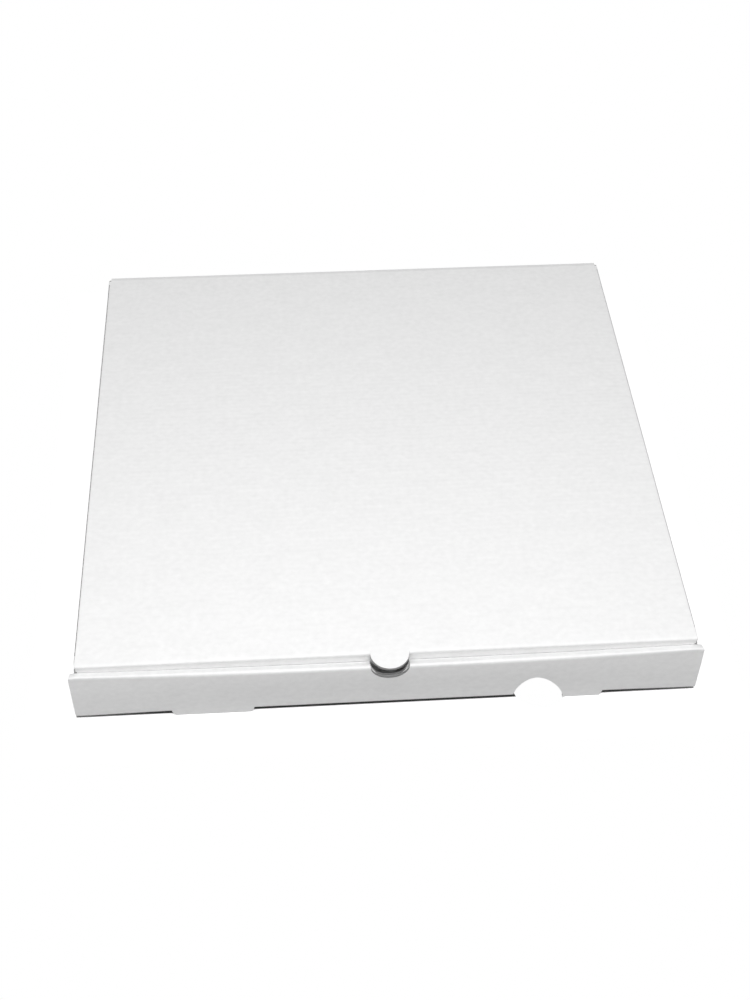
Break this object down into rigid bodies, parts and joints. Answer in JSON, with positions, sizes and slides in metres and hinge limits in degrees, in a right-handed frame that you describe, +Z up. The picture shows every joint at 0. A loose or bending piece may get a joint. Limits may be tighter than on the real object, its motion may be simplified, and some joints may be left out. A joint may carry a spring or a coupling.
{
  "type": "pizza box",
  "caption": "Flat square box folded from one sheet of white board: hinged tuck-in lid with a thumb tab, rolled-over front wall, two feet and a round vent hole.",
  "frame": {"origin": "under the middle of the closed box, at the level of the bottom of its two feet", "axes": "+Z up, the front wall with the thumb notch faces -Y, +X to the right seen from the front"},
  "size_m": [0.3358, 0.336, 0.0403],
  "materials": {
    "white_board": "matt white paper over micro-flutes"
  },
  "bodies": {
    "tray": {"tray": "white_board"},
    "lid": {"lid": "white_board"}
  },
  "joints": [
    {"name": "lid_hinge", "type": "hinge", "parent": "tray", "child": "lid", "pos_m": [0, 0.16725, 0.03955], "axis": [-1, 0, 0], "range_deg": [0, 180]}
  ]
}
